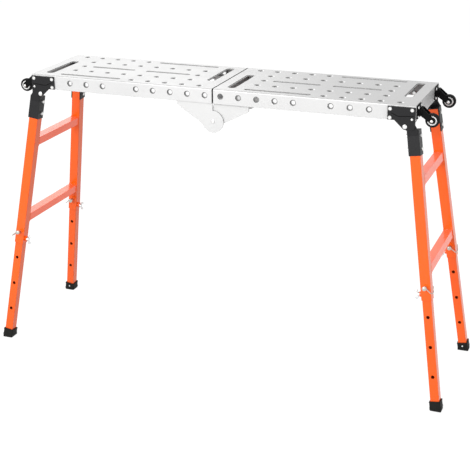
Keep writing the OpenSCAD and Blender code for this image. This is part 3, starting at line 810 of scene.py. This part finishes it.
@dataclass
class Legs:
    """The telescopic legs, their rungs with weld beads, and the rubber feet."""

    bench: Bench
    bead_r: float = 1.9
    bead_out: float = 0.5  # from the rung's faces to the middle of the bead
    bead_sink: float = 0.9  # how deep that middle lies in the leg
    bead_steps: int = 18  # points of the bead on each face
    ripple: float = 0.16  # share by which the bead swells and shrinks
    foot_h: float = 28.0  # how far the foot reaches up the leg
    boot: float = 3.3  # its wall
    collar: float = 0.8  # how much wider its collar is
    collar_h: float = 4.0
    ribs: tuple[float, float] = (5.0, 9.0)  # the ribs' heights above the sole
    rib_out: float = 1.1
    rib_h: float = 1.8
    below: float = 6.0  # what is drawn below the floor and then cut off
    rivet_up: float = 17.0
    hole_pitch: float = 90.0
    holes: int = 3  # that show below the outer tube

    def build(self) -> None:
        """Dresses the tubes and adds the welds and feet."""
        for corner in Corner:
            self.bench.dress([f"{corner.label}_outer_leg"], "orange")
            self.bench.dress([f"{corner.label}_inner_leg"], "inner")
            self.foot(corner)
            self.rivet(corner)
            self.hole_edges(corner)
            for index, drop in enumerate(self.bench.sizes.rungs):
                self.weld(corner, index + 1, drop)
        for side in ("left", "right"):
            self.bench.dress([f"{side}_rungs"], "rung")

    def foot(self, corner: Corner) -> None:
        """Makes a moulded foot: a boot round the tube with a collar, a waist and a ribbed sole.

        Args:
            corner: the corner that it stands at.
        """
        s = self.bench.sizes
        width, sole = s.inner_w + 2 * self.boot, -s.leg_len
        bm = bmesh.new()
        square_bar(bm, width, width, sole - self.below, sole + self.foot_h, 3.2, 4)
        wide, top = width + self.collar, sole + self.foot_h - 0.2
        square_bar(bm, wide, wide, top - self.collar_h, top, 1.4, 3)
        for level in self.ribs:
            square_bar(bm, width + self.rib_out, width + self.rib_out,
                       sole + level - self.rib_h / 2, sole + level + self.rib_h / 2, 0.7, 2)
        frame = corner.mirror @ s.leg_frame()
        bmesh.ops.transform(bm, matrix=frame @ Matrix.Scale(MM, 4), verts=bm.verts)
        # the sole is cut level with the floor
        bmesh.ops.bisect_plane(bm, geom=bm.verts[:] + bm.edges[:] + bm.faces[:], dist=1e-6,
                               plane_co=(0, 0, 0.00002), plane_no=(0, 0, 1), clear_inner=True)
        rim = [e for e in bm.edges if e.is_boundary]
        bmesh.ops.holes_fill(bm, edges=rim, sides=0)
        bmesh.ops.transform(bm, matrix=Matrix.Scale(1 / MM, 4), verts=bm.verts)
        self.bench.mount(f"{corner.label}_rubber_foot", bm, Matrix.Identity(4),
                         f"{corner.label}_inner_leg", "rubber", "foot_rubber",
                         (f"{corner.label}_foot",))

    def rivet(self, corner: Corner) -> None:
        """Turns the small bright rivet on the foot's inner side.

        Args:
            corner: the corner that the foot stands at.
        """
        s = self.bench.sizes
        face = (s.leg_frame(s.leg_len - self.rivet_up)
                @ shift(y=-s.inner_w / 2 - self.boot) @ turned(90, "X"))
        head = [(0, 1.5), (1.5, 1.3), (2.5, 0.7), (2.8, 0.0), (2.8, -0.4), (0, -0.4)]
        self.bench.turn(f"{corner.label}_foot_rivet", head, 24, corner.mirror @ face,
                        f"{corner.label}_inner_leg", "zinc", "zinc")

    def hole_edges(self, corner: Corner) -> None:
        """Paints shade as a dark ring round each height hole, so that the hole's dark opening looks
        wider.

        Args:
            corner: the leg's corner.
        """
        s = self.bench.sizes
        ring = [(4.12, 0.01), (5.2, 0.01), (5.05, 0.12), (4.2, 0.12), (4.12, 0.01)]
        bm = bmesh.new()
        for step in range(1, self.holes + 1):
            for way in (-1, 1):
                face = (s.leg_frame(s.pin_drop + step * self.hole_pitch)
                        @ shift(y=way * s.inner_w / 2) @ turned(-90 * way, "X"))
                # the face's frame is in metres, the ring in millimetres
                lathe(bm, ring, 24, Matrix.Scale(1 / MM, 4) @ face @ Matrix.Scale(MM, 4))
        self.bench.mount(f"{corner.label}_worn_hole_edges", bm, corner.mirror,
                         f"{corner.label}_inner_leg", "edge", "orange_tube")

    def weld(self, corner: Corner, number: int, drop: float) -> None:
        """Runs a rippled fillet of weld round a rung's end where it meets the leg.

        Args:
            corner: the leg's corner.
            number: 1 for the upper rung, 2 for the lower.
            drop: the rung's distance below the pivot.
        """
        s = self.bench.sizes
        frame = shift(s.leg_x, 0, s.pivot_z) @ turned(-s.lean, "Y")
        splay = math.radians(s.splay)

        def seat(x: float, z: float) -> Triple:
            """Point on the leg's inner face, in the frame that only leans."""
            inner = s.leg_y - (z * math.sin(splay) + s.leg_w / 2) / math.cos(splay)
            return (x, inner - self.bead_sink, z)

        half_w, half_h = s.rung_w / 2 + self.bead_out, s.rung_h / 2 + self.bead_out
        steps = self.bead_steps
        outline = [(-half_w, -half_h), (half_w, -half_h), (half_w, half_h), (-half_w, half_h),
                   (-half_w, -half_h)]
        spots = [seat(x0 + (x1 - x0) * step / steps, z0 + (z1 - z0) * step / steps - drop)
                 for (x0, z0), (x1, z1) in zip(outline, outline[1:]) for step in range(steps)]
        ripples = [1.0 + self.ripple * math.sin(n * math.pi / 2) for n in range(len(spots))]
        bm = bent_wire(spots, self.bead_r, ripples)
        self.bench.mount(f"{corner.label}_rung_weld_{number}", bm, corner.mirror @ frame,
                         f"{corner.side}_legs", "orange", "orange_tube", crease=70)


@dataclass
class SnapPins:
    """Turned pins with a grooved head and a sprung wire bail that clips round the leg."""

    bench: Bench
    pin_r: float = 4.0
    head_r: float = 6.5
    stand: float = 12.0  # from the leg's face to the head
    wire_r: float = 1.2
    bail_drop: float = 17.0  # how far down the leg the bail hangs
    bail_back: float = 13.0  # how far it reaches back along the leg's side

    def build(self) -> None:
        """Makes the four pins."""
        for corner in Corner:
            self.pin(corner)

    def pin(self, corner: Corner) -> None:
        """Turns one pin and bends its bail.

        Args:
            corner: the leg's corner. Back legs carry their pin on the inside of the table.
        """
        s = self.bench.sizes
        out = 1 if corner.value[1] < 0 else -1
        face = s.leg_frame(s.pin_drop) @ shift(y=out * s.leg_w / 2) @ turned(-90 * out, "X")
        bm = bmesh.new()
        st, r, h = self.stand, self.pin_r, self.head_r
        lathe(bm, [(0, -1.3), (r - 1, -1.3), (r, -0.3), (r, st + 0.2), (h - 0.7, st + 0.2),
                   (h, st + 0.8), (h, st + 1.5), (h - 0.5, st + 1.9), (h - 0.5, st + 2.5),
                   (h, st + 2.9), (h, st + 4.4), (h - 0.8, st + 5.4), (h - 2.2, st + 6),
                   (0, st + 6)])
        reach, drop, back = s.leg_w / 2 + 2 * self.wire_r + 3, out * self.bail_drop, -self.bail_back
        absorb(bm, bent_wire([
            (h - 2, 0, st + 3), (h + 2, out * 4, st + 3), (reach - 4, drop - out * 4, st + 3),
            (reach - 1, drop - out, st), (reach, drop, st - 4), (reach, drop, -2),
            (reach, drop, -7), (reach, drop - out * 3, -11), (reach, drop - out * 8, back),
            (reach, out * 4, back), (reach, 0, back)], self.wire_r))
        self.bench.mount(f"{corner.label}_turned_snap_pin", bm, corner.mirror @ face,
                         f"{corner.label}_snap_pin", "pin", "zinc",
                         (f"{corner.label}_snap_pin",))


@dataclass
class WingScrews:
    """Cast wing screws that steady the inner leg."""

    bench: Bench
    screw_r: float = 4.0
    boss_h: float = 6.0  # the boss on the leg that the screw goes through
    wall: float = 1.5  # the leg's wall under it
    reach: float = 15.0  # from the axis to an ear's tip
    ear_r: float = 5.0
    ear_t: float = 2.8
    ear_up: float = 10.0  # from the boss to an ear's middle
    ease: float = 0.8  # of an ear's rim
    sharp: float = 1.2  # angle, in radians, of the edges that are eased
    root_from: float = 6.5  # where the ear's root begins, back from its tip
    root: tuple[float, float] = (1.5, 3.2)  # the root's start: from the axis and above the boss
    narrow: tuple[float, float] = (0.35, 0.4)  # what the root keeps of the ear's size

    def build(self) -> None:
        """Makes the four screws."""
        for corner in Corner:
            self.screw(corner)

    def wing(self, bm: BMesh, turn: float) -> None:
        """Casts one ear of the screw as an eased plate that narrows to its root.

        Args:
            bm: the mesh to add to.
            turn: the ear's direction round the screw's axis, in degrees.
        """
        old = set(bm.verts)
        tip = bmesh.ops.create_circle(bm, cap_ends=True, cap_tris=False, radius=self.ear_r,
                                      segments=18)["verts"]
        bmesh.ops.translate(bm, vec=(self.reach - self.ear_r, self.boss_h + self.ear_up, 0),
                            verts=tip)
        near, low = self.reach - 2 * self.ear_r, self.boss_h + self.ear_up - self.ear_r
        for vert in [v for v in tip if v.co.x < self.reach - self.root_from]:
            vert.co.x = self.root[0] + (vert.co.x - near) * self.narrow[0]
            vert.co.y = self.boss_h + self.root[1] + (vert.co.y - low) * self.narrow[1]
        made = {v for v in bm.verts if v not in old}
        slab = bmesh.ops.extrude_face_region(bm, geom=[f for f in bm.faces
                                                       if set(f.verts) <= made])
        lifted = [g for g in slab["geom"] if isinstance(g, bmesh.types.BMVert)]
        bmesh.ops.translate(bm, vec=(0, 0, self.ear_t), verts=lifted)
        made = [v for v in bm.verts if v not in old]
        bmesh.ops.translate(bm, vec=(0, 0, -self.ear_t / 2), verts=made)
        rims = [e for e in bm.edges if e.verts[0] in made and len(e.link_faces) == 2
                and e.calc_face_angle(0) > self.sharp]
        bmesh.ops.bevel(bm, geom=rims, offset=self.ease, offset_type="OFFSET", segments=2,
                        profile=0.5, affect="EDGES", material=-1, clamp_overlap=True)
        made = [v for v in bm.verts if v not in old]
        bmesh.ops.rotate(bm, cent=(0, 0, 0), matrix=Matrix.Rotation(math.radians(90), 3, "X"),
                         verts=made)
        bmesh.ops.rotate(bm, cent=(0, 0, 0), matrix=Matrix.Rotation(math.radians(turn), 3, "Z"),
                         verts=made)

    def screw(self, corner: Corner) -> None:
        """Turns one screw with its hub and casts its two ears.

        Args:
            corner: the leg's corner.
        """
        s = self.bench.sizes
        face = s.leg_frame(s.wing_at) @ shift(-s.leg_w / 2) @ turned(-90, "Y")
        bm = bmesh.new()
        b, r = self.boss_h, self.screw_r
        lathe(bm, [(0, -self.wall), (r - 0.6, -self.wall), (r, -self.wall + 0.6), (r, b + 0.3),
                   (r + 2.5, b + 0.3), (r + 2.7, b + 1.2), (r + 1.8, b + 6.6), (r + 0.8, b + 7.3),
                   (0, b + 7.3)], 32)
        for turn in (0, 180):
            self.wing(bm, turn)
        self.bench.mount(f"{corner.label}_cast_wing_screw", bm, corner.mirror @ face,
                         f"{corner.label}_wing_screw", "zinc", "zinc",
                         (f"{corner.label}_wing_screw",))


@dataclass
class Casters:
    """The swivel wheels: grooved tyre, white rim ring, black ribbed hub and bright nuts."""

    bench: Bench
    tyre_r: float = 20.0
    tyre_w: float = 14.0
    seat_r: float = 12.5  # where the tyre meets the rim
    ring_r: float = 9.4  # inside of the rim's white ring
    axle_r: float = 3.05
    hub_w: float = 17.4
    ribs: int = 6
    arm_out: float = 12.0  # outer face of the fork's arm, from the wheel's middle

    def build(self) -> None:
        """Makes the four wheels with their nuts and swivel rivets."""
        for corner in Corner:
            for make in (self.tyre, self.rim, self.hub, self.nuts, self.rivet):
                make(corner)

    def place(self, corner: Corner) -> Matrix:
        """The wheel's own frame: origin in its middle, +Z along the axle."""
        return corner.mirror @ shift(*self.bench.sizes.axle) @ turned(-90, "X")

    def tyre(self, corner: Corner) -> None:
        """Turns a tyre with rounded shoulders and two tread grooves.

        Args:
            corner: the wheel's corner.
        """
        r, w, inner = self.tyre_r, self.tyre_w / 2, self.seat_r + 0.05
        half = [(inner, -w), (r - 3.4, -w), (r - 1.7, -w + 0.5), (r - 0.6, -w + 1.5),
                (r - 0.1, -w + 2.9), (r, -w + 3.4), (r, -2.3), (r - 0.7, -2.0), (r - 0.7, -1.3),
                (r, -1.0)]
        self.bench.turn(f"{corner.label}_moulded_tyre", both_ways(half), 56, self.place(corner),
                        f"{corner.label}_wheel", "tyre", "tyre_rubber", (f"{corner.label}_tyre",))

    def rim(self, corner: Corner) -> None:
        """Turns the white ring that carries the tyre.

        Args:
            corner: the wheel's corner.
        """
        r, w, inner = self.seat_r, self.tyre_w / 2, self.ring_r
        half = [(inner, -w + 3.2), (inner + 0.1, -w + 1.0), (inner + 0.5, -w + 0.2),
                (inner + 1.0, -w), (r + 0.6, -w), (r + 1.1, -w - 0.05), (r + 1.2, -w + 0.3),
                (r, -w + 0.6)]
        self.bench.turn(f"{corner.label}_white_rim_ring", both_ways(half), 48, self.place(corner),
                        f"{corner.label}_wheel", "white", "white_rim", (f"{corner.label}_rim",))

    def hub(self, corner: Corner) -> None:
        """Turns the black hub with its web and ribs.

        Args:
            corner: the wheel's corner.
        """
        a, h, ring = self.axle_r, self.hub_w / 2, self.ring_r
        half = [(a, -h), (a + 1.6, -h), (a + 2.2, -h + 0.6), (a + 2.6, -h + 3.4),
                (ring + 0.3, -h + 5.0)]
        bm = bmesh.new()
        lathe(bm, both_ways(half), 40)
        for face_side in (-1, 1):
            for step in range(self.ribs):
                made = square_bar(bm, ring - a - 1.6, 1.3, -1.6, 1.6, 0.4, 2)
                turn = Matrix.Rotation(step * math.tau / self.ribs, 4, "Z")
                bmesh.ops.translate(bm, vec=((ring + a) / 2 + 0.6, 0, face_side * 5.0), verts=made)
                bmesh.ops.transform(bm, matrix=turn, verts=made)
        self.bench.mount(f"{corner.label}_black_hub", bm, self.place(corner),
                         f"{corner.label}_wheel", "hub", "tyre_rubber")

    def nuts(self, corner: Corner) -> None:
        """Turns the bright capped nuts on both ends of the axle.

        Args:
            corner: the wheel's corner.
        """
        bm = bmesh.new()
        cap = [(0, 4.9), (1.9, 4.8), (3.3, 4.3), (4.2, 3.5), (4.6, 2.5), (0, 2.5)]
        for turn in (0, 180):
            lathe(bm, cap, 30,
                  turned(turn, "X") @ Matrix.Translation((0, 0, self.arm_out + 0.02)))
        self.bench.mount(f"{corner.label}_axle_nuts", bm, self.place(corner),
                         f"{corner.label}_fork", "zinc", "zinc")

    def rivet(self, corner: Corner) -> None:
        """Turns the bright head of the swivel's rivet.

        Args:
            corner: the wheel's corner.
        """
        face = shift(*self.bench.sizes.swivel) @ turned(90, "Y")
        head = [(0, 3.1), (3.4, 2.9), (5.6, 2.1), (6.7, 0.9), (6.7, 0.05), (0, 0.05)]
        self.bench.turn(f"{corner.label}_swivel_rivet", head, 32, corner.mirror @ face,
                        f"{corner.side}_table", "zinc", "zinc")


# Studio


@dataclass
class Studio:
    """The pale floor, the soft lights and the camera at the photograph's angle."""

    lens_px: float = 1154.15  # focal length, in the photograph's pixels
    frame_px: float = 470.0
    sensor: float = 36.0  # in millimetres
    spot: Triple = (1.25297, -3.18404, 1.66595)
    yaw: float = 0.3725  # radians, like the next two
    pitch: float = 0.3611
    roll: float = -0.0079
    floor_gap: float = 0.0006  # between the floor and the soles
    floor_tone: float = 0.2  # its colour
    floor_glow: float = 0.9  # how bright it looks to the camera
    room_light: float = 0.56
    room_shine: float = 0.85

    def camera(self) -> None:
        """Sets the camera as it was fitted to the photograph."""
        data = bpy.data.cameras.new("photo_camera")
        data.sensor_fit = "HORIZONTAL"
        data.sensor_width = self.sensor
        data.lens = self.sensor * self.lens_px / self.frame_px
        data.clip_end = 100
        camera = bpy.data.objects.new("photo_camera", data)
        bpy.context.scene.collection.objects.link(camera)
        cos_y, sin_y, cos_p, sin_p = (math.cos(self.yaw), math.sin(self.yaw), math.cos(self.pitch),
                                      math.sin(self.pitch))
        ahead = Vector((-sin_y * cos_p, cos_y * cos_p, -sin_p))
        right = Vector((cos_y, sin_y, 0))
        up = right.cross(ahead)
        cos_r, sin_r = math.cos(self.roll), math.sin(self.roll)
        right, up = right * cos_r + up * sin_r, up * cos_r - right * sin_r
        turn = Matrix((right, up, -ahead)).transposed().to_4x4()
        camera.matrix_world = Matrix.Translation(self.spot) @ turn
        bpy.context.scene.camera = camera

    def lamp(self, name: str, spot: Triple, aim: Triple, size: float, power: float) -> None:
        """Adds a soft square lamp.

        Args:
            name: its name.
            spot: where it hangs.
            aim: what it points at.
            size: its side in metres.
            power: its power in watts.
        """
        data = bpy.data.lights.new(name, "AREA")
        data.size = size
        data.energy = power
        lamp = bpy.data.objects.new(name, data)
        bpy.context.scene.collection.objects.link(lamp)
        direction = Vector(aim) - Vector(spot)
        lamp.matrix_world = (Matrix.Translation(spot)
                             @ direction.to_track_quat("-Z", "Y").to_matrix().to_4x4())

    def floor(self) -> None:
        """Lays a pale floor that shows white to the camera and keeps the table's shadow."""
        bm = bmesh.new()
        bmesh.ops.create_grid(bm, x_segments=1, y_segments=1, size=30)
        mesh = bpy.data.meshes.new("pale_floor")
        bm.to_mesh(mesh)
        bm.free()
        floor = bpy.data.objects.new("pale_floor", mesh)
        bpy.context.scene.collection.objects.link(floor)
        floor.location = (0, 0, -self.floor_gap)
        material = bpy.data.materials.new("pale_floor")
        material.use_nodes = True
        nodes, join = material.node_tree.nodes, material.node_tree.links.new
        nodes.clear()
        out, matt, glow, path, seen, level, both = (nodes.new(f"ShaderNode{kind}") for kind in (
            "OutputMaterial", "BsdfDiffuse", "Emission", "LightPath", "Math", "Math", "AddShader"))
        matt.inputs["Color"].default_value = (*[self.floor_tone] * 3, 1)
        seen.operation, level.operation = "MAXIMUM", "MULTIPLY"
        level.inputs[1].default_value = self.floor_glow
        for start, end in ((path.outputs["Is Camera Ray"], seen.inputs[0]),
                           (path.outputs["Is Glossy Ray"], seen.inputs[1]),
                           (seen.outputs[0], level.inputs[0]),
                           (level.outputs[0], glow.inputs["Strength"]),
                           (matt.outputs[0], both.inputs[0]), (glow.outputs[0], both.inputs[1]),
                           (both.outputs[0], out.inputs["Surface"])):
            join(start, end)
        mesh.materials.append(material)

    def world(self) -> None:
        """Sets an even pale room, brighter in reflections than in the light that it gives."""
        world = bpy.data.worlds.new("pale_room")
        world.use_nodes = True
        nodes, join = world.node_tree.nodes, world.node_tree.links.new
        room = nodes["Background"]
        room.inputs["Color"].default_value = (1, 1, 1, 1)
        path, level = nodes.new("ShaderNodeLightPath"), nodes.new("ShaderNodeMapRange")
        level.inputs["To Min"].default_value = self.room_light
        level.inputs["To Max"].default_value = self.room_shine
        join(path.outputs["Is Glossy Ray"], level.inputs["Value"])
        join(level.outputs["Result"], room.inputs["Strength"])
        bpy.context.scene.world = world
        bpy.context.scene.view_settings.view_transform = "Standard"

    def build(self) -> None:
        """Sets the whole studio."""
        self.camera()
        self.world()
        self.floor()
        self.lamp("key", (-1.0, -3.7, 2.1), (0.1, 0, 0.4), 2.4, 128)
        self.lamp("fill", (3.0, -2.6, 1.4), (0.3, 0, 0.4), 2.2, 18)
        self.lamp("back", (-1.9, 2.7, 2.9), (-0.2, 0, 0.9), 2.2, 28)


def main() -> None:
    """Loads the table, dresses and details it, and sets the studio."""
    logging.basicConfig(level=logging.INFO, format="%(name)s: %(message)s")
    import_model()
    bench = Bench(Finishes(), TableSizes())
    stages: list[Callable[[], None]] = [
        Decks(bench).build, Brackets(bench).build, Legs(bench).build, SnapPins(bench).build,
        WingScrews(bench).build, Casters(bench).build, Studio().build,
    ]
    for stage in stages:
        stage()
    LOG.info("%d pieces made", bench.count)


if __name__ == "__main__":
    main()
